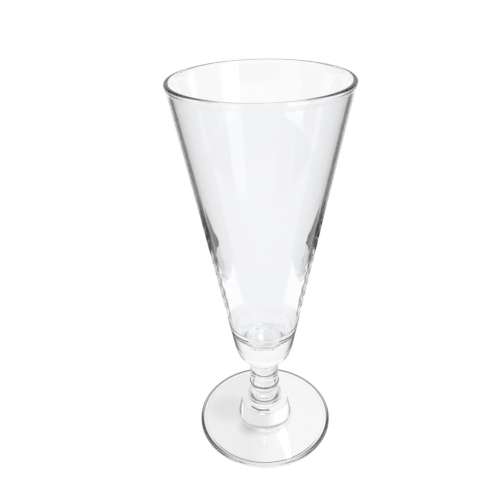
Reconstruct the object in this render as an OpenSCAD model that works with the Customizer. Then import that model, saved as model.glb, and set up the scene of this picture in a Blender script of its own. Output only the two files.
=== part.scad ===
// Footed pilsner glass, one pressed piece of clear glass.
// A straight flared bowl stands on a solid bulb, a short ringed stem, a round boss and a flat foot.
// The axis of the glass is Z, and it stands on the table at z = 0.

/* [Overall] */
// Height from the table to the rim
glass_h = 210; // [180:1:240]

/* [Bowl] */
// Outer diameter that the straight wall of the bowl reaches at the rim
rim_d = 84.9; // [70:0.1:96]
// Wall thickness at the rim, below its bead
rim_wall = 1.9; // [1.2:0.1:3]
// Wall thickness where the wall meets the inside bottom
low_wall = 3; // [2:0.1:5]
// Radius between the wall and the inside bottom
inside_round = 17; // [8:0.5:20]
// How far the inside bottom rises from the plunger's mark to the wall
inside_rise = 3.6; // [1:0.1:5]
// Depth of solid glass between the plunger's mark and the neck
bulb_solid = 19; // [14:0.1:24]
// Diameter of the round mark that the plunger leaves in the inside bottom
plunger_d = 13.6; // [8:0.2:16]
// Depth of the plunger's mark
plunger_depth = 0.8; // [0.2:0.1:1.2]
// Diameter of the small disc in the middle of the plunger's mark
disc_d = 9.2; // [3:0.2:10]
// Depth of the small disc
disc_depth = 0.3; // [0.1:0.1:0.6]

/* [Rim bead] */
// Thickness of the fire-polished bead
rim_bead_t = 2.3; // [1.6:0.1:3.2]
// Height over which the wall runs into the bead
rim_bead_h = 3.5; // [2.5:0.1:6]
// How far the bead stands out past the wall
rim_bead_out = 0.2; // [0:0.05:0.6]

/* [Bulb] */
// Outer diameter where the straight wall ends and the bulb starts to round in
bulb_d = 35.1; // [31:0.1:42]
// Diameter at the bulb's lower turn
bulb_turn_d = 31; // [26:0.1:34]
// Height from the neck to the bulb's lower turn
bulb_turn_h = 8.8; // [6:0.1:12]
// Height from the lower turn to the end of the straight wall
bulb_h = 11; // [8:0.1:16]
// Radius of the lower turn
bulb_turn_round = 19.5; // [8:0.5:24]
// Radius between the bulb and the straight wall
bulb_top_round = 56; // [20:1:80]

/* [Stem] */
// Diameter of the groove under the bulb
neck_d = 14.6; // [11:0.1:16]
// Height of the groove
neck_h = 2.8; // [1.4:0.1:4]
// Diameter of the stem
stem_d = 16.6; // [13:0.1:19]
// Height of the stem between its ring and the groove
stem_h = 10.6; // [6:0.1:20]
// Diameter of the ring on the stem
ring_d = 17.8; // [15:0.1:22]
// Height of the ring
ring_h = 3.6; // [2:0.1:6]
// Diameter of the waist between the ring and the bead
waist_d = 17.1; // [13:0.1:19]
// Height of the waist
waist_h = 4.8; // [2:0.1:9]
// Diameter of the bead at the bottom of the stem
bead_d = 20.5; // [18:0.1:25]
// Height of the bead
bead_h = 7.3; // [4:0.1:12]
// Height of the bead's sloping shoulder
bead_slope_h = 2.7; // [1:0.1:3.4]

/* [Boss] */
// Diameter of the boss at its flat top
boss_top_d = 28; // [26:0.1:34]
// Diameter of the boss where it meets the foot
boss_foot_d = 32.6; // [29:0.1:40]
// Height of the boss above the foot
boss_h = 11.2; // [6:0.1:18]
// Radius of the hollow round between the boss and the foot
boss_fillet = 1; // [0.3:0.1:3]

/* [Foot] */
// Diameter of the foot
foot_d = 80.7; // [66:0.1:96]
// Thickness of the foot at its edge
foot_edge_t = 2.9; // [2:0.1:4.5]
// Height of the foot's upper face where it meets the boss
foot_h = 4.9; // [4.6:0.1:8]
// Width of the flat ring that the glass stands on
contact_w = 2.6; // [1:0.1:5]
// Distance from that ring to the edge of the foot
contact_inset = 1.2; // [0.8:0.1:3]
// Height of the hollow under the middle of the foot
hollow_h = 1.3; // [0.5:0.1:3]

/* [Rounding] */
// Radius at the lower edge of the foot
foot_low_round = 1.1; // [0.3:0.1:1.3]
// Radius at the upper edge of the foot
foot_top_round = 1.5; // [0.3:0.1:1.6]
// Radius of the outer edges on the boss, the bead and the stem
edge_round = 0.9; // [0.2:0.1:1.4]
// Radius of the creases between them
crease_round = 0.4; // [0.1:0.1:0.8]
// Radius of the edges of the plunger's mark
mark_round = 0.3; // [0.1:0.1:0.6]

/* [Hidden] */

// Turn of one straight step in a rounded corner, in degrees
arc_step = 7.5;
// Turn of one step around the axis in the preview
$fa = 3;
glass_colour = [0.86, 0.92, 0.93, 0.45];

// Levels, counted up from the table
boss_z = foot_h + boss_h;
bead_z = boss_z + bead_h;
waist_z = bead_z + waist_h;
ring_z = waist_z + ring_h;
stem_z = ring_z + stem_h;
neck_z = stem_z + neck_h;
bulb_turn_z = neck_z + bulb_turn_h;
bulb_z = bulb_turn_z + bulb_h;
inside_z = neck_z + bulb_solid;
plunger_z = inside_z + plunger_depth;
inside_wall_z = plunger_z + inside_rise;
rim_bead_z = glass_h - rim_bead_h;

// Radii of the foot's ring and of the rim's bead
contact_out_r = foot_d / 2 - contact_inset;
contact_in_r = contact_out_r - contact_w;
bead_out_r = rim_d / 2 + rim_bead_out;

// Outer radius of the straight wall at a height
function wall_r(z) = bulb_d / 2 + (rim_d - bulb_d) / 2 * (z - bulb_z) / (glass_h - bulb_z);

// Inner radius of the bowl at a height, with the wall growing thicker towards the bottom
function inside_r(z) =
    wall_r(z) - rim_wall - (low_wall - rim_wall) * (glass_h - z) / (glass_h - inside_z);

// One unit of length from point a towards point b
function toward(a, b) = (b - a) / norm(b - a);

// The radius and height of a corner [r, z, round]
function place(corner) = [corner[0], corner[1]];

// How much of the edge from corner p to its neighbour q the arc at p may use
function share(p, q) =
    let (edge = norm(place(q) - place(p)))
    edge - min(edge / 2, q[2]);

// The points of an arc that touches both edges at the corner p, between its neighbours a and b
function arc_at(a, p, b) =
    let (
        to_a = toward(place(p), place(a)),
        to_b = toward(place(p), place(b)),
        half = acos(to_a * to_b) / 2,
        reach = min(p[2] / tan(half), share(p, a), share(p, b)),
        radius = reach * tan(half),
        centre = place(p) + (to_a + to_b) / norm(to_a + to_b) * radius / sin(half),
        first = place(p) + to_a * reach - centre,
        turn = 180 - 2 * half,
        side = sign(cross(to_b, to_a)),
        steps = max(2, ceil(turn / arc_step))
    )
    [for (i = [0:steps]) let (angle = side * turn * i / steps)
        centre + [first[0] * cos(angle) - first[1] * sin(angle),
                  first[0] * sin(angle) + first[1] * cos(angle)]];

// A closed outline from corners [r, z, round], where a round of 0 keeps the corner sharp
function rounded(corners) =
    let (n = len(corners))
    [for (i = [0:n - 1])
        each corners[i][2] > 0
            ? arc_at(corners[(i + n - 1) % n], corners[i], corners[(i + 1) % n])
            : [place(corners[i])]];

// The underside and the edge of the foot
foot_corners = [
    [0, hollow_h, 0],
    [contact_in_r * 0.6, hollow_h, contact_in_r],
    [contact_in_r, 0, 0.4],
    [foot_d / 2, 0, foot_low_round],
    [foot_d / 2, foot_edge_t, foot_top_round]
];

// The boss, the bead, the waist, the ring and the stem, from the foot up to the neck
stem_corners = [
    [boss_foot_d / 2, foot_h, boss_fillet],
    [boss_top_d / 2, boss_z, edge_round],
    [bead_d / 2, boss_z, crease_round],
    [bead_d / 2, bead_z - bead_slope_h, edge_round],
    [waist_d / 2, bead_z, crease_round],
    [waist_d / 2, waist_z, crease_round],
    [ring_d / 2, waist_z + ring_h / 4, edge_round],
    [ring_d / 2, ring_z - ring_h / 4, edge_round],
    [stem_d / 2, ring_z, crease_round],
    [stem_d / 2, stem_z, edge_round],
    [neck_d / 2, stem_z + neck_h / 2, edge_round],
    [neck_d / 2, neck_z, edge_round]
];

// The bulb, the straight wall and the bead of the rim
bowl_corners = [
    [bulb_turn_d / 2, bulb_turn_z, bulb_turn_round],
    [bulb_d / 2, bulb_z, bulb_top_round],
    [wall_r(rim_bead_z), rim_bead_z, rim_bead_t],
    [bead_out_r, glass_h - rim_bead_h / 2, rim_bead_t / 2],
    [bead_out_r, glass_h, rim_bead_t / 2],
    [bead_out_r - rim_bead_t, glass_h, rim_bead_t / 2],
    [bead_out_r - rim_bead_t, glass_h - rim_bead_h / 2, rim_bead_t / 2]
];

// The inside of the bowl, down to the plunger's mark and the small disc in it
inside_corners = [
    [inside_r(rim_bead_z), rim_bead_z, rim_bead_t],
    [inside_r(inside_wall_z), inside_wall_z, inside_round],
    [plunger_d / 2, plunger_z, mark_round],
    [plunger_d / 2 - plunger_depth / 2, inside_z, mark_round],
    [disc_d / 2, inside_z, mark_round],
    [disc_d / 2 - disc_depth, inside_z - disc_depth, mark_round],
    [0, inside_z - disc_depth, 0]
];

module pilsner_glass() {
    color(glass_colour)
        rotate_extrude()
            polygon(rounded(concat(foot_corners, stem_corners, bowl_corners, inside_corners)));
}

pilsner_glass();
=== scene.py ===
"""Looks of a footed pilsner glass: one pressed piece of clear glass in a bright studio."""

import logging
import math
from dataclasses import dataclass, field
from enum import Enum
from typing import Sequence

import bpy
import numpy as np
from mathutils import Matrix


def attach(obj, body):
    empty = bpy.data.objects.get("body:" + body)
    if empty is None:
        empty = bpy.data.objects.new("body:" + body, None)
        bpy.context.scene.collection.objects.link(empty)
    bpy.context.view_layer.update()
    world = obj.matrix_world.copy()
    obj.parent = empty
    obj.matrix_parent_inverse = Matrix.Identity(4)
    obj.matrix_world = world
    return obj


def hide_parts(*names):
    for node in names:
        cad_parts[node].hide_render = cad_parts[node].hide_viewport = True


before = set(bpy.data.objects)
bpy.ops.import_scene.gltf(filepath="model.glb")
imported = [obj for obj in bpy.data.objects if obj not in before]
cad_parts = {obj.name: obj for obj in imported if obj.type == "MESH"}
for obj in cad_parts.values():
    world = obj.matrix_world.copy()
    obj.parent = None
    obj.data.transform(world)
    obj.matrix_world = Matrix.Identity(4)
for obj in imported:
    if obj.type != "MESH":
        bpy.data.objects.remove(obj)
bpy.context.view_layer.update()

LOG = logging.getLogger("pilsner_glass")

MM = 0.001
Array = np.ndarray
Socket = bpy.types.NodeSocket


def unit(vector: Array) -> Array:
    """The vector with a length of one."""
    return vector / np.linalg.norm(vector)


@dataclass(frozen=True)
class Corner:
    """A corner of the half section: its distance from the axis, its height and its rounding."""

    r: float
    z: float
    bend: float = 0.0

    @property
    def place(self) -> Array:
        """The corner's radius and height as an array."""
        return np.array([self.r, self.z])

    def share(self, neighbour: "Corner") -> float:
        """The length of the edge to a neighbour that this corner's arc may use."""
        length = float(np.linalg.norm(neighbour.place - self.place))
        return length - min(length / 2, neighbour.bend)


@dataclass(frozen=True)
class Section:
    """A sampled half section: points (r, z) and the outward normal at each, in millimetres."""

    points: Array
    normals: Array


def edge_normal(start: Array, end: Array) -> Array:
    """The outward normal of a straight edge, a quarter turn to the right of its direction."""
    along = unit(end - start)
    return np.array([along[1], -along[0]])


def sample_corner(before: Corner, corner: Corner, after: Corner, step: float) -> Section:
    """Samples the arc that rounds a corner.

    The arc touches both edges, its centre lies on the line that halves the corner, and its points
    are centre + radius * (cos a, sin a) with a in even steps. The normal is the direction
    (cos a, sin a), turned round where the corner is hollow.

    Args:
        before: The corner before it.
        corner: The corner that is rounded.
        after: The corner after it.
        step: The largest turn between two samples, in degrees.

    Returns:
        The arc's points and normals.
    """
    to_before = unit(before.place - corner.place)
    to_after = unit(after.place - corner.place)
    half = math.acos(float(np.clip(to_before @ to_after, -1.0, 1.0))) / 2
    reach = min(corner.bend / math.tan(half), corner.share(before), corner.share(after))
    radius = reach * math.tan(half)
    centre = corner.place + unit(to_before + to_after) * radius / math.sin(half)
    first = corner.place + to_before * reach - centre
    last = corner.place + to_after * reach - centre
    start = math.atan2(first[1], first[0])
    turn = (math.atan2(last[1], last[0]) - start + math.pi) % (2 * math.pi) - math.pi
    count = max(2, math.ceil(math.degrees(abs(turn)) / step))
    angles = start + turn * np.linspace(0.0, 1.0, count + 1)
    rays = np.stack([np.cos(angles), np.sin(angles)], axis=1)
    return Section(centre + radius * rays, rays * math.copysign(1.0, turn))


def sample_section(corners: Sequence[Corner], arc_step: float, edge_step: float) -> Section:
    """Samples a half section from one pole to the other.

    Each corner becomes an arc and each straight edge even steps. The path runs outwards under the
    foot, up the outside and down the inside, so the glass lies to its left.

    Args:
        corners: The corners in order. The first and the last one lie on the axis.
        arc_step: The largest turn between two samples of an arc, in degrees.
        edge_step: The longest step along a straight edge, in millimetres.

    Returns:
        The points and normals of the whole section.
    """
    pole_start = Section(corners[0].place[None], np.array([[0.0, -1.0]]))
    pole_end = Section(corners[-1].place[None], np.array([[0.0, 1.0]]))
    arcs = [sample_corner(*three, arc_step) for three in zip(corners[:-2], corners[1:-1], corners[2:])]
    parts = [pole_start]
    for last, following in zip([pole_start, *arcs], [*arcs, pole_end]):
        start, end = last.points[-1], following.points[0]
        length = float(np.linalg.norm(end - start))
        if length > edge_step / 10:
            count = math.ceil(length / edge_step)
            share = np.linspace(0.0, 1.0, count + 1)[1:-1, None]
            normals = np.repeat(edge_normal(start, end)[None], len(share), axis=0)
            parts.append(Section(start + (end - start) * share, normals))
        parts.append(following)
    points = np.concatenate([part.points for part in parts])
    normals = np.concatenate([part.normals for part in parts])
    fresh = np.append(True, np.linalg.norm(np.diff(points, axis=0), axis=1) > 1e-5)
    return Section(points[fresh], normals[fresh])


@dataclass(frozen=True)
class Waves:
    """Faint waves that a cooling pressed wall keeps, all in millimetres but the turns.

    The surface moves along its normal by height * sin(2 pi z / pitch + sway * sin(turns * a)),
    where z is the height and a the angle round the axis. The waves fade in and out over `fade`
    at both ends of the span from `low` to `high`.
    """

    height: float
    pitch: float
    low: float
    high: float
    fade: float
    sway: float = 0.0
    turns: int = 1

    def lift(self, z: Array, angle: Array) -> Array:
        """How far the surface moves along its normal, for heights and angles on one grid."""
        rise = np.clip((z - self.low) / self.fade, 0.0, 1.0)
        fall = np.clip((self.high - z) / self.fade, 0.0, 1.0)
        ease = (rise * fall) ** 2 * (3.0 - 2.0 * rise * fall)
        phase = 2.0 * math.pi * z / self.pitch + self.sway * np.sin(self.turns * angle)
        return self.height * ease * np.sin(phase)


@dataclass
class PilsnerGlass:
    """The whole glass: a straight flared bowl, a solid bulb, a ringed stem, a boss and a flat foot.

    All sizes are in millimetres, as the model of the solid has them.
    """

    glass_h: float = 210.0
    rim_d: float = 84.9
    rim_wall: float = 1.9
    low_wall: float = 3.0
    inside_z: float = 64.2
    inside_round: float = 17.0
    inside_rise: float = 3.6
    plunger_d: float = 13.6
    plunger_depth: float = 0.8
    disc_d: float = 9.2
    disc_depth: float = 0.3
    mark_round: float = 0.3
    rim_bead_t: float = 2.3
    rim_bead_h: float = 3.5
    rim_bead_out: float = 0.2
    bulb_d: float = 35.1
    bulb_z: float = 65.0
    bulb_turn_d: float = 31.0
    bulb_turn_z: float = 54.0
    bulb_turn_round: float = 19.5
    bulb_top_round: float = 56.0
    neck_d: float = 14.6
    neck_z: float = 45.2
    groove: float = 0.4
    neck_h: float = 2.8
    stem_d: float = 16.6
    stem_z: float = 42.4
    ring_d: float = 17.8
    ring_z: float = 31.8
    ring_h: float = 3.6
    waist_d: float = 17.1
    bead_d: float = 20.5
    bead_z: float = 23.4
    bead_slope_h: float = 2.7
    boss_top_d: float = 28.0
    boss_z: float = 16.1
    boss_foot_d: float = 32.6
    boss_fillet: float = 1.0
    foot_d: float = 80.7
    foot_h: float = 4.9
    foot_edge_t: float = 2.9
    foot_low_round: float = 1.1
    foot_top_round: float = 1.5
    contact_w: float = 2.6
    contact_inset: float = 1.2
    hollow_h: float = 1.3
    edge_round: float = 0.9
    crease_round: float = 0.4
    arc_step: float = 4.0
    edge_step: float = 0.9
    segments: int = 128
    waves: tuple[Waves, ...] = field(default_factory=lambda: (
        Waves(height=0.006, pitch=7.3, low=70.0, high=150.0, fade=18.0, sway=0.6, turns=2),
    ))

    def wall_r(self, z: float) -> float:
        """Outer radius of the straight wall at a height."""
        share = (z - self.bulb_z) / (self.glass_h - self.bulb_z)
        return self.bulb_d / 2 + (self.rim_d - self.bulb_d) / 2 * share

    def inside_r(self, z: float) -> float:
        """Inner radius of the bowl at a height, with the wall growing thicker downwards."""
        depth = (self.glass_h - z) / (self.glass_h - self.inside_z)
        return self.wall_r(z) - self.rim_wall - (self.low_wall - self.rim_wall) * depth

    def foot_corners(self) -> list[Corner]:
        """The underside and the edge of the foot."""
        ring_out = self.foot_d / 2 - self.contact_inset
        ring_in = ring_out - self.contact_w
        return [
            Corner(0.0, self.hollow_h),
            Corner(ring_in * 0.6, self.hollow_h, ring_in),
            Corner(ring_in, 0.0, self.crease_round),
            Corner(self.foot_d / 2, 0.0, self.foot_low_round),
            Corner(self.foot_d / 2, self.foot_edge_t, self.foot_top_round),
        ]

    def stem_corners(self) -> list[Corner]:
        """The boss, the bead, the waist, the ring, the stem and the neck."""
        ring_low = self.ring_z - self.ring_h
        return [
            Corner(self.boss_foot_d / 2, self.foot_h, self.boss_fillet),
            Corner(self.boss_top_d / 2, self.boss_z, self.edge_round),
            Corner(self.bead_d / 2, self.boss_z, self.crease_round),
            Corner(self.bead_d / 2, self.bead_z - self.bead_slope_h, self.edge_round),
            Corner(self.waist_d / 2, self.bead_z, self.crease_round),
            Corner(self.waist_d / 2, ring_low, self.crease_round),
            Corner(self.ring_d / 2, ring_low + self.ring_h / 4, self.edge_round),
            Corner(self.ring_d / 2, self.ring_z - self.ring_h / 4, self.edge_round),
            Corner(self.stem_d / 2, self.ring_z, self.crease_round),
            Corner(self.stem_d / 2, self.stem_z, self.edge_round),
            Corner(self.neck_d / 2, self.neck_z - self.neck_h / 2, self.edge_round),
            Corner(self.neck_d / 2 - self.groove, self.neck_z, self.crease_round),
        ]

    def bowl_corners(self) -> list[Corner]:
        """The bulb, the straight wall and the bead of the rim."""
        bead_low = self.glass_h - self.rim_bead_h
        bead_mid = self.glass_h - self.rim_bead_h / 2
        bead_out = self.rim_d / 2 + self.rim_bead_out
        bead_in = bead_out - self.rim_bead_t
        return [
            Corner(self.bulb_turn_d / 2, self.bulb_turn_z, self.bulb_turn_round),
            Corner(self.bulb_d / 2, self.bulb_z, self.bulb_top_round),
            Corner(self.wall_r(bead_low), bead_low, self.rim_bead_t),
            Corner(bead_out, bead_mid, self.rim_bead_t / 2),
            Corner(bead_out, self.glass_h, self.rim_bead_t / 2),
            Corner(bead_in, self.glass_h, self.rim_bead_t / 2),
            Corner(bead_in, bead_mid, self.rim_bead_t / 2),
        ]

    def inside_corners(self) -> list[Corner]:
        """The inside of the bowl, down to the plunger's mark and the small disc in it."""
        bead_low = self.glass_h - self.rim_bead_h
        plunger_z = self.inside_z + self.plunger_depth
        wall_z = plunger_z + self.inside_rise
        return [
            Corner(self.inside_r(bead_low), bead_low, self.rim_bead_t),
            Corner(self.inside_r(wall_z), wall_z, self.inside_round),
            Corner(self.plunger_d / 2, plunger_z, self.mark_round),
            Corner(self.plunger_d / 2 - self.plunger_depth / 2, self.inside_z, self.mark_round),
            Corner(self.disc_d / 2, self.inside_z, self.mark_round),
            Corner(self.disc_d / 2 - self.disc_depth, self.inside_z - self.disc_depth, self.mark_round),
            Corner(0.0, self.inside_z - self.disc_depth),
        ]

    def section(self) -> Section:
        """The whole half section, from the hollow under the foot to the inside bottom."""
        corners = [*self.foot_corners(), *self.stem_corners(), *self.bowl_corners(), *self.inside_corners()]
        return sample_section(corners, self.arc_step, self.edge_step)

    def build(self) -> bpy.types.Object:
        """Turns the half section round the axis into one closed mesh.

        A point of the surface is (r cos a, r sin a, z) for each sample (r, z) of the section and
        each angle a, moved along the section's normal by the waves. The two samples on the axis are
        single points, closed with triangles.

        Returns:
            The glass's object, at the origin.
        """
        section = self.section()
        angles = np.arange(self.segments) * 2.0 * math.pi / self.segments
        ring_points, ring_normals = section.points[1:-1], section.normals[1:-1]
        lift = sum(
            (wave.lift(ring_points[:, 1, None], angles[None]) for wave in self.waves),
            np.zeros((len(ring_points), self.segments)),
        )
        r = ring_points[:, 0, None] + ring_normals[:, 0, None] * lift
        z = ring_points[:, 1, None] + ring_normals[:, 1, None] * lift
        length = np.append(0.0, np.cumsum(np.linalg.norm(np.diff(ring_points, axis=0), axis=1)))
        slope = np.gradient(lift, length, axis=0)
        along = np.stack([-ring_normals[:, 1], ring_normals[:, 0]], axis=1)
        normal_r = ring_normals[:, 0, None] - slope * along[:, 0, None]
        normal_z = ring_normals[:, 1, None] - slope * along[:, 1, None]
        rings = np.stack([r * np.cos(angles), r * np.sin(angles), z], axis=-1).reshape(-1, 3)
        ring_rays = np.stack(
            [normal_r * np.cos(angles), normal_r * np.sin(angles), normal_z], axis=-1
        ).reshape(-1, 3)
        poles = np.array([[0.0, 0.0, section.points[0, 1]], [0.0, 0.0, section.points[-1, 1]]])
        points = np.concatenate([rings, poles]) * MM
        normals = np.concatenate([ring_rays, [[0.0, 0.0, -1.0], [0.0, 0.0, 1.0]]])
        normals /= np.linalg.norm(normals, axis=1, keepdims=True)
        return mesh_object("clear_glass", points, self.faces(len(ring_points)), normals)

    def faces(self, rings: int) -> list[Array]:
        """The quads between neighbouring rings and the triangles round both poles."""
        around = np.arange(self.segments)
        following = np.roll(around, -1)
        start = np.arange(rings - 1)[:, None] * self.segments
        above = start + self.segments
        ring = [start + around, start + following, above + following, above + around]
        quads = np.stack(ring, axis=-1).reshape(-1, 4)
        low_pole = np.full(self.segments, rings * self.segments)
        top = (rings - 1) * self.segments
        low_fan = np.stack([low_pole, following, around], axis=-1)
        top_fan = np.stack([low_pole + 1, top + around, top + following], axis=-1)
        return [quads, low_fan, top_fan]


def mesh_object(
    name: str, points: Array, faces: Sequence[Array], normals: Array | None = None
) -> bpy.types.Object:
    """Puts points and faces into a new object at the origin.

    Args:
        name: The object's name.
        points: The points, in metres.
        faces: Arrays of faces, one for each number of corners.
        normals: The smooth normal at each point, where the surface is round.

    Returns:
        The object, linked to the scene.
    """
    mesh = bpy.data.meshes.new(name)
    mesh.from_pydata(points.tolist(), [], [face for group in faces for face in group.tolist()])
    if normals is not None:
        mesh.shade_smooth()
        mesh.normals_split_custom_set_from_vertices(normals.tolist())
    mesh.update()
    piece = bpy.data.objects.new(name, mesh)
    bpy.context.scene.collection.objects.link(piece)
    return piece


class NodeSketch:
    """Short calls for building the nodes of one material, group or world."""

    def __init__(self, tree: bpy.types.NodeTree) -> None:
        """Starts with an empty tree."""
        self.tree = tree
        self.tree.nodes.clear()

    def add(self, kind: str, **settings: object) -> bpy.types.Node:
        """Adds a node of a kind and sets its options."""
        node = self.tree.nodes.new(kind)
        for name, value in settings.items():
            setattr(node, name, value)
        return node

    def feed(self, socket: Socket, value: Socket | float | tuple) -> None:
        """Links a socket to another one, or sets its value."""
        if isinstance(value, bpy.types.NodeSocket):
            self.tree.links.new(value, socket)
        else:
            socket.default_value = value

    def math(self, operation: str, *values: Socket | float) -> Socket:
        """The result of a Math node."""
        node = self.add("ShaderNodeMath", operation=operation)
        for socket, value in zip(node.inputs, values):
            self.feed(socket, value)
        return node.outputs[0]

    def ramp(self, value: Socket, low: float, high: float, to_low: float, to_high: float) -> Socket:
        """A value mapped smoothly from one range to another."""
        node = self.add("ShaderNodeMapRange", interpolation_type="SMOOTHSTEP")
        for name, number in (
            ("From Min", low), ("From Max", high), ("To Min", to_low), ("To Max", to_high), ("Value", value)
        ):
            self.feed(node.inputs[name], number)
        return node.outputs["Result"]

    def curve(self, value: Socket, stops: Sequence[tuple[float, float]]) -> Socket:
        """A value from 0 to 1 looked up on straight lines through stops."""
        node = self.add("ShaderNodeValToRGB")
        stock = node.color_ramp.elements
        while len(stock) < len(stops):
            stock.new(1.0)
        for element, (place, level) in zip(stock, stops):
            element.position = place
            element.color = (level, level, level, 1.0)
        self.feed(node.inputs["Fac"], value)
        return self.math("MULTIPLY", node.outputs["Color"], 1.0)

    def blend(self, share: Socket | float, first: Socket | float, second: Socket | float) -> Socket:
        """A value between two others: the first one at a share of 0, the second one at 1."""
        node = self.add("ShaderNodeMix", data_type="FLOAT")
        for name, value in (("Factor", share), ("A", first), ("B", second)):
            self.feed(node.inputs[name], value)
        return node.outputs["Result"]

    def both(self, *masks: Socket) -> Socket:
        """One where all the masks are one."""
        together = masks[0]
        for mask in masks[1:]:
            together = self.math("MULTIPLY", together, mask)
        return together

    def either(self, first: Socket, second: Socket) -> Socket:
        """One where at least one of two masks is one."""
        return self.math("MAXIMUM", first, second)

    def opposite(self, mask: Socket) -> Socket:
        """One where a mask is zero."""
        return self.math("SUBTRACT", 1.0, mask)

    def between(self, value: Socket, low: float, high: float, soft: float) -> Socket:
        """One between two values, with soft ends, and zero elsewhere."""
        rise = self.ramp(value, low - soft, low + soft, 0.0, 1.0)
        return self.both(rise, self.ramp(value, high - soft, high + soft, 1.0, 0.0))

    def away(self, x: Socket, y: Socket, centre: tuple[float, float]) -> Socket:
        """Distance on the floor from a point."""
        dx, dy = self.math("SUBTRACT", x, centre[0]), self.math("SUBTRACT", y, centre[1])
        squares = self.math("ADD", self.math("MULTIPLY", dx, dx), self.math("MULTIPLY", dy, dy))
        return self.math("SQRT", squares)

    def split(self, vector: Socket) -> tuple[Socket, Socket, Socket]:
        """The three parts of a vector."""
        node = self.add("ShaderNodeSeparateXYZ")
        self.feed(node.inputs[0], vector)
        return tuple(node.outputs)

    def place(self) -> tuple[Socket, Socket, Socket]:
        """The x, y and z of the point that a ray meets."""
        return self.split(self.add("ShaderNodeNewGeometry").outputs["Position"])

    def emission(self, strength: Socket | float, colour: tuple = (1.0, 1.0, 1.0, 1.0)) -> Socket:
        """A shader that glows."""
        node = self.add("ShaderNodeEmission")
        self.feed(node.inputs["Color"], colour)
        self.feed(node.inputs["Strength"], strength)
        return node.outputs[0]

    def mix(self, share: Socket | float, first: Socket, second: Socket) -> Socket:
        """Two shaders mixed, the second one by its share."""
        node = self.add("ShaderNodeMixShader")
        for socket, value in zip(node.inputs, (share, first, second)):
            self.feed(socket, value)
        return node.outputs[0]

    def clear(self, colour: tuple = (1.0, 1.0, 1.0, 1.0)) -> Socket:
        """A shader that lets rays through unbent."""
        node = self.add("ShaderNodeBsdfTransparent")
        self.feed(node.inputs["Color"], colour)
        return node.outputs[0]

    def finish(self, shader: Socket, kind: str = "ShaderNodeOutputMaterial") -> None:
        """Sends a shader to the output."""
        self.feed(self.add(kind).inputs["Surface"], shader)


@dataclass(frozen=True)
class ClearGlass:
    """Clear soda-lime glass, fire polished, with a worn ring where the glass stands."""

    tint: tuple = (0.978, 0.981, 0.987, 1.0)
    ior: float = 1.52
    shadow: tuple = (0.93, 0.94, 0.94, 1.0)
    polish: float = 0.0
    worn: float = 0.1
    worn_h: float = 0.2
    skin_size: float = 0.004
    skin_depth: float = 0.000002

    def material(self) -> bpy.types.Material:
        """The glass's material.

        The body is a clear dielectric. Its skin carries a very fine unevenness, and the lowest
        fraction of a millimetre is dull from standing and sliding on tables.

        Returns:
            The new material.
        """
        made = bpy.data.materials.new("clear_glass")
        made.use_nodes = True
        sketch = NodeSketch(made.node_tree)
        place = sketch.add("ShaderNodeTexCoord").outputs["Object"]
        ring = sketch.ramp(sketch.split(place)[2], 0.0, self.worn_h * MM, self.worn, self.polish)
        skin = sketch.add("ShaderNodeTexNoise")
        sketch.feed(skin.inputs["Vector"], place)
        sketch.feed(skin.inputs["Scale"], 1.0 / self.skin_size)
        sketch.feed(skin.inputs["Detail"], 1.0)
        bump = sketch.add("ShaderNodeBump")
        sketch.feed(bump.inputs["Height"], skin.outputs["Fac"])
        sketch.feed(bump.inputs["Distance"], self.skin_depth)
        body = sketch.add("ShaderNodeBsdfPrincipled")
        sketch.feed(body.inputs["Base Color"], self.tint)
        sketch.feed(body.inputs["Roughness"], ring)
        sketch.feed(body.inputs["IOR"], self.ior)
        sketch.feed(body.inputs["Transmission Weight"], 1.0)
        sketch.feed(body.inputs["Normal"], bump.outputs["Normal"])
        shade = sketch.add("ShaderNodeLightPath").outputs["Is Shadow Ray"]
        sketch.finish(sketch.mix(shade, body.outputs[0], sketch.clear(self.shadow)))
        return made


class RayPath:
    """What a stage material knows of the ray that meets it. The masks are one or zero."""

    def __init__(self, sketch: NodeSketch) -> None:
        """Reads the ray's history."""
        outputs = sketch.add("ShaderNodeLightPath").outputs
        self.sketch = sketch
        self.camera = outputs["Is Camera Ray"]
        self.length = outputs["Ray Length"]
        self.bounces = outputs["Glossy Depth"]
        self.passes = outputs["Transmission Depth"]

    def straight(self) -> Socket:
        """Rays that nothing reflected."""
        return self.sketch.math("LESS_THAN", self.bounces, 0.5)

    def reflected(self) -> Socket:
        """Rays that were reflected once."""
        return self.sketch.math("COMPARE", self.bounces, 1.0, 0.5)

    def rattled(self) -> Socket:
        """Rays that were reflected more than once inside the glass."""
        return self.sketch.math("GREATER_THAN", self.bounces, 1.5)

    def outside(self) -> Socket:
        """Rays that never were in the glass."""
        return self.sketch.math("LESS_THAN", self.passes, 0.5)

    def inside(self) -> Socket:
        """Rays that were in the glass."""
        return self.sketch.math("GREATER_THAN", self.passes, 1.5)

    def one_part(self) -> Socket:
        """Rays that went in and out of the glass once at most."""
        return self.sketch.math("LESS_THAN", self.passes, 2.5)

    def two_parts(self) -> Socket:
        """Rays that went in and out of the glass twice, and nothing reflected."""
        return self.sketch.both(self.sketch.math("COMPARE", self.passes, 4.0, 0.5), self.straight())

    def through_one(self) -> Socket:
        """Rays that went straight through one solid part."""
        return self.sketch.both(self.one_part(), self.straight())


class Seen(Enum):
    """The rays that see a light card. The camera's own rays never do."""

    BENT = 0
    REFLECTED = 1


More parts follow.
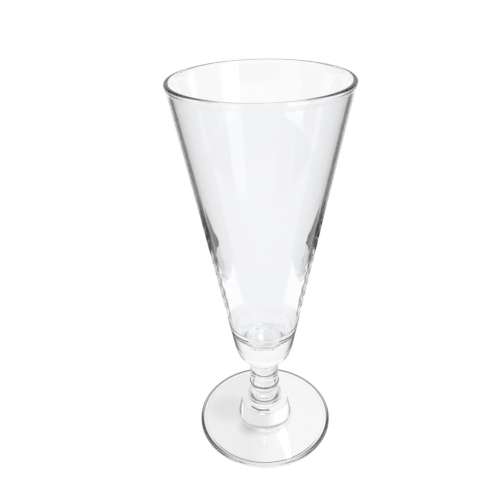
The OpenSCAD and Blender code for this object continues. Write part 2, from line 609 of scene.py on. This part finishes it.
@dataclass(frozen=True)
class Card:
    """A bright card that stands round the glass.

    Azimuths are in degrees from the camera's side towards the right, heights in degrees above the
    middle of the glass. `mirrored` holds how much of its glow a card for bent rays shows to rays
    that were reflected, at the two places along x in `mirrored_x`.
    """

    name: str
    azimuth: tuple[float, float]
    height: tuple[float, float]
    glow: float
    seen: Seen = Seen.REFLECTED
    distance: float = 1.2
    mirrored: tuple[float, float] = (1.0, 1.0)
    mirrored_x: tuple[float, float] = (-0.5, 0.05)
    centre_z: float = 0.1
    step: float = 5.0

    def build(self) -> bpy.types.Object:
        """Makes the card as a patch of a sphere round the glass.

        A point is the centre + distance * (cos h sin a, -cos h cos a, sin h) on a grid of azimuths
        a and heights h.

        Returns:
            The card's object.
        """
        columns = max(2, math.ceil(abs(self.azimuth[1] - self.azimuth[0]) / self.step) + 1)
        rows = max(2, math.ceil(abs(self.height[1] - self.height[0]) / self.step) + 1)
        azimuth = np.radians(np.linspace(*self.azimuth, columns))[None]
        height = np.radians(np.linspace(*self.height, rows))[:, None]
        across, ahead = np.cos(height) * np.sin(azimuth), -np.cos(height) * np.cos(azimuth)
        rays = np.stack([across, ahead, np.sin(height) + 0.0 * azimuth], axis=-1).reshape(-1, 3)
        points = self.distance * rays + [0.0, 0.0, self.centre_z]
        corner = (np.arange(rows - 1)[:, None] * columns + np.arange(columns - 1)).ravel()
        faces = np.stack([corner, corner + 1, corner + columns + 1, corner + columns], axis=-1)
        card = mesh_object(self.name, points, [faces])
        card.data.materials.append(self.material())
        card.visible_camera = False
        card.visible_shadow = False
        card.visible_diffuse = False
        return card

    def material(self) -> bpy.types.Material:
        """A plain glow, and nothing at all for rays that don't see the card."""
        made = bpy.data.materials.new(self.name)
        made.use_nodes = True
        sketch = NodeSketch(made.node_tree)
        bounced = RayPath(sketch).reflected()
        if self.seen is Seen.REFLECTED:
            sketch.finish(sketch.mix(bounced, sketch.clear(), sketch.emission(self.glow)))
        else:
            left, right = (self.glow * share for share in self.mirrored)
            mirrored = sketch.ramp(sketch.place()[0], *self.mirrored_x, left, right)
            sketch.finish(sketch.emission(sketch.blend(bounced, self.glow, mirrored)))
        return made


@dataclass(frozen=True)
class PaintedRoomShade:
    """Painted shade on the floor that stands for a dark room beside the table, which the edges of the bowl
    show.

    Rays that the wall reflected see this painted shade past the line drawn as the table's edge, past its
    front and along a slit. Rays through two walls see only a part of it, between two distances from the
    glass.
    """

    # how bright the floor stays under the painted shade
    level: float = 0.05
    near: float = 0.08
    front: float = -0.06
    edge: tuple[tuple[float, float], ...] = (
        (0.0, 0.130), (0.080, 0.125), (0.109, 0.124), (0.153, 0.106), (0.179, 0.087), (0.191, 0.078),
        (0.198, 0.075), (0.204, 0.077), (0.213, 0.091), (0.233, 0.117), (0.244, 0.150), (0.270, 0.165),
        (0.430, 0.260), (0.950, 0.550),
    )
    part_y: tuple[float, float, float] = (0.150, 0.250, 0.005)
    part_x: float = 0.14
    part_height: float = 0.118
    wall_r: float = 0.025
    slit_line: tuple[float, float] = (0.57, 0.045)
    slit_width: tuple[float, float, float] = (-0.014, 0.014, 0.003)
    slit_y: tuple[float, float, float] = (0.060, 0.150, 0.006)

    def bounced(self, sketch: NodeSketch, path: RayPath) -> Socket:
        """Rays that one wall reflected, from further away than the foot is."""
        far = sketch.math("GREATER_THAN", path.length, self.near)
        return sketch.both(path.reflected(), far, path.one_part())

    def past_front(self, sketch: NodeSketch, y: Socket) -> Socket:
        """The floor in front of the table."""
        return sketch.math("LESS_THAN", y, self.front)

    def slit(self, sketch: NodeSketch, aside: Socket, y: Socket) -> Socket:
        """A narrow slit of painted shade that runs outwards on both sides of the glass."""
        off = sketch.math("SUBTRACT", aside, sketch.math("MULTIPLY_ADD", y, *self.slit_line))
        return sketch.both(sketch.between(off, *self.slit_width), sketch.between(y, *self.slit_y))

    def part(self, sketch: NodeSketch, path: RayPath, x: Socket, y: Socket) -> Socket:
        """The part of the painted room shade that rays through two walls see.

        They see it only if they left the glass above a height. The square of that height is the
        square of the ray's length less the square of its way along the floor.

        Args:
            sketch: The floor's nodes.
            path: The ray's history.
            x: Where the ray meets the floor, to the right.
            y: Where it meets the floor, away from the camera.

        Returns:
            One where they see it.
        """
        along = sketch.math("SUBTRACT", sketch.away(x, y, (0.0, 0.0)), self.wall_r)
        squares = (sketch.math("MULTIPLY", side, side) for side in (path.length, along))
        high = sketch.math("GREATER_THAN", sketch.math("SUBTRACT", *squares), self.part_height ** 2)
        narrow = sketch.math("LESS_THAN", sketch.math("ABSOLUTE", x), self.part_x)
        deep = sketch.between(y, *self.part_y)
        return sketch.both(deep, narrow, high, sketch.opposite(path.through_one()))

    def share(self, sketch: NodeSketch, path: RayPath, x: Socket, y: Socket) -> Socket:
        """The light that the floor keeps where the painted room shade is seen.

        Args:
            sketch: The floor's nodes.
            path: The ray's history.
            x: Where the ray meets the floor, to the right.
            y: Where it meets the floor, away from the camera.

        Returns:
            One on the table and the level of the painted room shade beside it.
        """
        aside = sketch.math("ABSOLUTE", x)
        past_edge = sketch.math("GREATER_THAN", aside, sketch.curve(y, self.edge))
        outside = sketch.either(self.past_front(sketch, y), past_edge)
        past = sketch.either(outside, self.slit(sketch, aside, y))
        part = sketch.both(self.part(sketch, path, x, y), past_edge)
        dark = sketch.either(sketch.both(self.bounced(sketch, path), past), part)
        # painted shade: the floor drops to the dark level for these rays
        return sketch.blend(dark, 1.0, self.level)


@dataclass(frozen=True)
class DimSides:
    """The dim surroundings on both sides, which draw the outlines of the solid bulb: painted shade on the
    floor, and a dimmer part of the world.

    They lie between two slopes, the distance to the side over the distance behind the glass.
    """

    level: float = 0.16
    slopes: tuple[float, float, float] = (0.95, 2.1, 0.4)
    least_y: float = 0.03
    reach: tuple[float, float, float] = (0.045, 0.6, 0.002)
    skim_level: float = 0.15
    skim_reach: float = 0.13

    def between_slopes(self, sketch: NodeSketch, x: Socket, y: Socket, least_y: float) -> Socket:
        """One between the two slopes, on both sides."""
        slope = sketch.math("DIVIDE", sketch.math("ABSOLUTE", x), sketch.math("MAXIMUM", y, least_y))
        return sketch.between(slope, *self.slopes)

    def share(self, sketch: NodeSketch, path: RayPath, x: Socket, y: Socket) -> Socket:
        """The light that the floor keeps beside the glass, where shade is painted on it.

        Rays that skim off the outside of the bulb or the stem meet the floor soon, and see it painted dim.

        Args:
            sketch: The floor's nodes.
            path: The ray's history.
            x: Where the ray meets the floor, to the right.
            y: Where it meets the floor, away from the camera.

        Returns:
            One, or less where the sides are dim.
        """
        within = sketch.between(sketch.math("ABSOLUTE", x), *self.reach)
        dim = sketch.both(self.between_slopes(sketch, x, y, self.least_y), within, path.through_one())
        near = sketch.math("LESS_THAN", path.length, self.skim_reach)
        skim = sketch.both(path.outside(), path.reflected(), near)
        # painted shade: the floor is dimmed beside the glass for bent rays
        level = sketch.blend(dim, 1.0, self.level)
        return sketch.math("MULTIPLY", level, sketch.blend(skim, 1.0, self.skim_level))


@dataclass(frozen=True)
class ShadeRing:
    """A thin ring of shade on the floor under the foot, with its own level in front and behind."""

    radius: float
    centre_y: float
    half_width: float
    front: float
    back: float
    turn_y: float
    turn_soft: float = 0.006
    core: float = 0.3

    def share(self, sketch: NodeSketch, x: Socket, y: Socket) -> Socket:
        """The light that the floor keeps on and beside the ring."""
        low, high = self.turn_y - self.turn_soft, self.turn_y + self.turn_soft
        level = sketch.ramp(y, low, high, self.front, self.back)
        away = sketch.away(x, y, (0.0, self.centre_y))
        off = sketch.math("ABSOLUTE", sketch.math("SUBTRACT", away, self.radius))
        on_ring = sketch.ramp(off, self.half_width * self.core, self.half_width, 1.0, 0.0)
        return sketch.blend(on_ring, 1.0, level)


@dataclass(frozen=True)
class SoftPatch:
    """A round patch of soft shade on the floor."""

    centre: tuple[float, float]
    reach: tuple[float, float]
    level: float

    def share(self, sketch: NodeSketch, x: Socket, y: Socket) -> Socket:
        """The light that the floor keeps on and beside the patch."""
        return sketch.ramp(sketch.away(x, y, self.centre), *self.reach, self.level, 1.0)


@dataclass(frozen=True)
class UnderFoot:
    """The floor under the foot: the foot's own soft shade, and where it touches the floor."""

    foot_r: float = 0.0404
    shade: tuple[float, float] = (0.86, 0.95)
    shade_x: tuple[float, float] = (-0.010, 0.008)
    patches: tuple[SoftPatch, ...] = (
        SoftPatch((-0.024, 0.004), (0.004, 0.016), 0.88),
        SoftPatch((-0.0095, -0.0105), (0.0005, 0.010), 0.72),
    )
    # painted shade rings on the floor that draw the stem's dark lines
    stem_line_shade_level: float = 0.2
    stem_line_shade_r: tuple[tuple[float, float, float], ...] = ((0.002, 0.0145, 0.001), (0.020, 0.029, 0.001))
    stem_line_shade_y: tuple[float, float] = (0.001, 0.008)
    # painted shade in two corners on the floor behind the boss
    corner_shade_level: float = 0.35
    corner_shade_x: tuple[float, float] = (0.0175, 0.0195)
    corner_shade_y: tuple[float, float] = (0.019, 0.022)
    streak_level: float = 0.25
    streak_x: tuple[float, float, float] = (-0.0085, 0.0028, 0.0005)
    streak_y: float = -0.0022
    streak_bend: tuple[float, float] = (-0.004, 0.7)
    streak_width: tuple[float, float] = (0.0004, 0.0011)
    rings: tuple[ShadeRing, ...] = (
        ShadeRing(0.03885, 0.0012, 0.00040, 0.05, 0.12, 0.0),
        ShadeRing(0.03690, 0.00015, 0.00036, 0.10, 0.88, -0.022),
        ShadeRing(0.01590, 0.0, 0.0018, 0.93, 1.0, 0.004),
    )

    def stem_line_shade(self, sketch: NodeSketch, path: RayPath, reach: Socket, y: Socket) -> Socket:
        """Two dark rings of painted shade on the floor that only reflected rays see, which draw the grooves
        of the stem as dark lines.
        """
        inner, outer = (sketch.between(reach, *span) for span in self.stem_line_shade_r)
        behind = sketch.ramp(y, *self.stem_line_shade_y, 0.0, 1.0)
        return sketch.both(sketch.opposite(path.straight()), sketch.math("ADD", inner, outer), behind)

    def streak(self, sketch: NodeSketch, path: RayPath, x: Socket, y: Socket) -> Socket:
        """A short bent streak of shade under the hollow, seen straight through the boss."""
        bend_x, slope = self.streak_bend
        past_bend = sketch.math("MAXIMUM", sketch.math("SUBTRACT", bend_x, x), 0.0)
        rise = sketch.math("MULTIPLY_ADD", past_bend, slope, self.streak_y)
        off = sketch.math("ABSOLUTE", sketch.math("SUBTRACT", y, rise))
        line = sketch.ramp(off, *self.streak_width, 1.0, 0.0)
        return sketch.both(line, sketch.between(x, *self.streak_x), path.through_one())

    def corners(self, sketch: NodeSketch, path: RayPath, x: Socket, y: Socket) -> Socket:
        """Two dark corners of painted shade on the floor behind the boss, seen through the sides of the
        stem.
        """
        aside = sketch.ramp(sketch.math("ABSOLUTE", x), *self.corner_shade_x, 0.0, 1.0)
        return sketch.both(path.two_parts(), aside, sketch.ramp(y, *self.corner_shade_y, 0.0, 1.0))

    def share(self, sketch: NodeSketch, path: RayPath, x: Socket, y: Socket) -> Socket:
        """The light that the floor keeps under the foot.

        Args:
            sketch: The floor's nodes.
            path: The ray's history.
            x: Where the ray meets the floor, to the right.
            y: Where it meets the floor, away from the camera.

        Returns:
            One away from the foot and less under it.
        """
        reach = sketch.away(x, y, (0.0, 0.0))
        under = sketch.math("LESS_THAN", reach, self.foot_r)
        patches = (patch.share(sketch, x, y) for patch in self.patches)
        soft = sketch.both(sketch.ramp(x, *self.shade_x, *self.shade), *patches)
        parts = [
            sketch.blend(under, 1.0, soft),
            sketch.blend(self.stem_line_shade(sketch, path, reach, y), 1.0, self.stem_line_shade_level),
            sketch.blend(self.streak(sketch, path, x, y), 1.0, self.streak_level),
            sketch.blend(sketch.both(under, self.corners(sketch, path, x, y)), 1.0, self.corner_shade_level),
            *(ring.share(sketch, x, y) for ring in self.rings),
        ]
        return sketch.both(*parts)


@dataclass
class Studio:
    """The plain pale floor, the bright surroundings and the light cards."""

    floor_size: float = 8.0
    floor_gap: float = 0.0002
    surround: float = 0.05
    haze: float = 0.75
    roof: float = 38.0
    rise: tuple[float, float] = (0.14, 0.26)
    least_y: float = 0.01
    # painted shade on the floor beside the table, seen only by reflected rays
    painted_room_shade: PaintedRoomShade = PaintedRoomShade()
    dim_sides: DimSides = DimSides()
    under_foot: UnderFoot = UnderFoot()
    cards: tuple[Card, ...] = (
        Card("card_front_right", (30, 56), (-30, 45), 1.5),
        Card("card_right", (56, 100), (-30, 45), 0.5),
        Card("card_back_right", (100, 112), (-30, 60), 1.2),
        Card("card_front_left", (-56, -28), (-30, 40), 0.65),
        Card("card_left", (-95, -60), (-30, 40), 0.4),
        Card("card_back", (139, 221), (-12, 40), 1.0, Seen.BENT, 1.3, (0.78, 0.78)),
        Card("card_top", (90, 270), (40, 85), 0.9, Seen.BENT, 1.35, (1.18, 0.9)),
        Card("lamp_foot", (166.8, 179.0), (50, 62), 4.0),
    )

    def build(self) -> None:
        """Builds the floor, the surroundings and the cards."""
        floor = self.floor()
        cards = [card.build() for card in self.cards]
        self.world()
        LOG.info("studio: a floor and %d light cards", len(cards))

    def floor(self) -> bpy.types.Object:
        """A floor that is plain white to the camera.

        Rays that the glass bends or reflects see painted shade on it: the shade under the foot and the
        dim and dark surroundings beside the table.

        Returns:
            The floor's object.
        """
        half = self.floor_size
        points = np.array([[-half, -half, 0.0], [half, -half, 0.0], [half, half, 0.0], [-half, half, 0.0]])
        floor = mesh_object("floor", points - [0.0, 0.0, self.floor_gap], [np.array([[0, 1, 2, 3]])])
        made = bpy.data.materials.new("white_floor")
        made.use_nodes = True
        sketch = NodeSketch(made.node_tree)
        path = RayPath(sketch)
        x, y, _ = sketch.place()
        parts = (self.painted_room_shade, self.dim_sides, self.under_foot)
        # painted shade from the three parts, for rays other than the camera's
        seen = sketch.both(*(part.share(sketch, path, x, y) for part in parts))
        glow = sketch.blend(path.camera, seen, 1.0)
        gone = sketch.both(self.painted_room_shade.bounced(sketch, path), self.painted_room_shade.past_front(sketch, y))
        sketch.finish(sketch.mix(gone, sketch.emission(glow), sketch.clear()))
        floor.data.materials.append(made)
        return floor

    def world(self) -> None:
        """Makes white surroundings for straight rays, a dark room for reflected ones, and haze.

        Rays through one solid part see the dim sides, which fade in between two heights of the
        ray's direction and end at the roof's angle, in degrees. Rays that the glass reflected
        inside see the haze.
        """
        world = bpy.data.worlds.new("studio")
        bpy.context.scene.world = world
        world.use_nodes = True
        sketch = NodeSketch(world.node_tree)
        path = RayPath(sketch)
        x, y, z = sketch.split(sketch.add("ShaderNodeTexCoord").outputs["Generated"])
        low = sketch.math("LESS_THAN", z, math.sin(math.radians(self.roof)))
        behind = sketch.math("GREATER_THAN", y, 0.0)
        slopes = self.dim_sides.between_slopes(sketch, x, y, self.least_y)
        side = sketch.both(path.through_one(), slopes, low, behind, sketch.ramp(z, *self.rise, 0.0, 1.0))
        glow = sketch.blend(path.straight(), self.surround, 1.0)
        glow = sketch.blend(side, glow, self.dim_sides.level)
        hazy = sketch.either(sketch.both(path.inside(), path.reflected()), path.rattled())
        glow = sketch.blend(path.camera, sketch.blend(hazy, glow, self.haze), 1.0)
        background = sketch.add("ShaderNodeBackground")
        sketch.feed(background.inputs["Color"], glow)
        sketch.finish(background.outputs[0], "ShaderNodeOutputWorld")


@dataclass(frozen=True)
class PhotoCamera:
    """The camera, solved from the ellipses of the rim and the foot in the photograph."""

    focal_px: float = 538.194
    frame_px: int = 500
    sensor_mm: float = 36.0
    place: tuple[float, float, float] = (0.0, -0.24332, 0.26452)
    yaw: float = -1.54856
    pitch: float = 30.34887
    roll: float = -1.59472

    def build(self) -> bpy.types.Object:
        """Places the camera and makes it the scene's.

        It looks along the direction (sin yaw cos pitch, cos yaw cos pitch, -sin pitch), and roll
        turns its right and up directions about that one.

        Returns:
            The camera's object.
        """
        yaw, pitch, roll = (math.radians(turn) for turn in (self.yaw, self.pitch, self.roll))
        level = math.cos(pitch)
        ahead = np.array([math.sin(yaw) * level, math.cos(yaw) * level, -math.sin(pitch)])
        right = np.array([math.cos(yaw), -math.sin(yaw), 0.0])
        up = np.cross(right, ahead)
        rolled_right = math.cos(roll) * right + math.sin(roll) * up
        rolled_up = -math.sin(roll) * right + math.cos(roll) * up
        matrix = np.eye(4)
        matrix[:3] = np.stack([rolled_right, rolled_up, -ahead, self.place], axis=1)
        lens = bpy.data.cameras.new("photo_camera")
        lens.sensor_width = self.sensor_mm
        lens.lens = self.focal_px * self.sensor_mm / self.frame_px
        camera = bpy.data.objects.new("photo_camera", lens)
        camera.matrix_world = Matrix(matrix.tolist())
        bpy.context.scene.collection.objects.link(camera)
        bpy.context.scene.camera = camera
        return camera


def set_render_quality() -> None:
    """Sets how colours are shown and how far rays follow the glass."""
    scene = bpy.context.scene
    scene.view_settings.view_transform = "Standard"
    scene.cycles.max_bounces = 24
    scene.cycles.transmission_bounces = 24
    scene.cycles.glossy_bounces = 16
    scene.cycles.transparent_max_bounces = 16
    scene.cycles.use_denoising = True


def main() -> None:
    """Builds the glass, its studio and its camera, and reports the glass and the studio."""
    logging.basicConfig(level=logging.INFO, format="%(name)s: %(message)s")
    glass = PilsnerGlass().build()
    glass.data.materials.append(ClearGlass().material())
    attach(glass, "root")
    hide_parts("pilsner_glass")
    LOG.info("glass: %d faces", len(glass.data.polygons))
    Studio().build()
    PhotoCamera().build()
    set_render_quality()


if __name__ == "__main__":
    main()
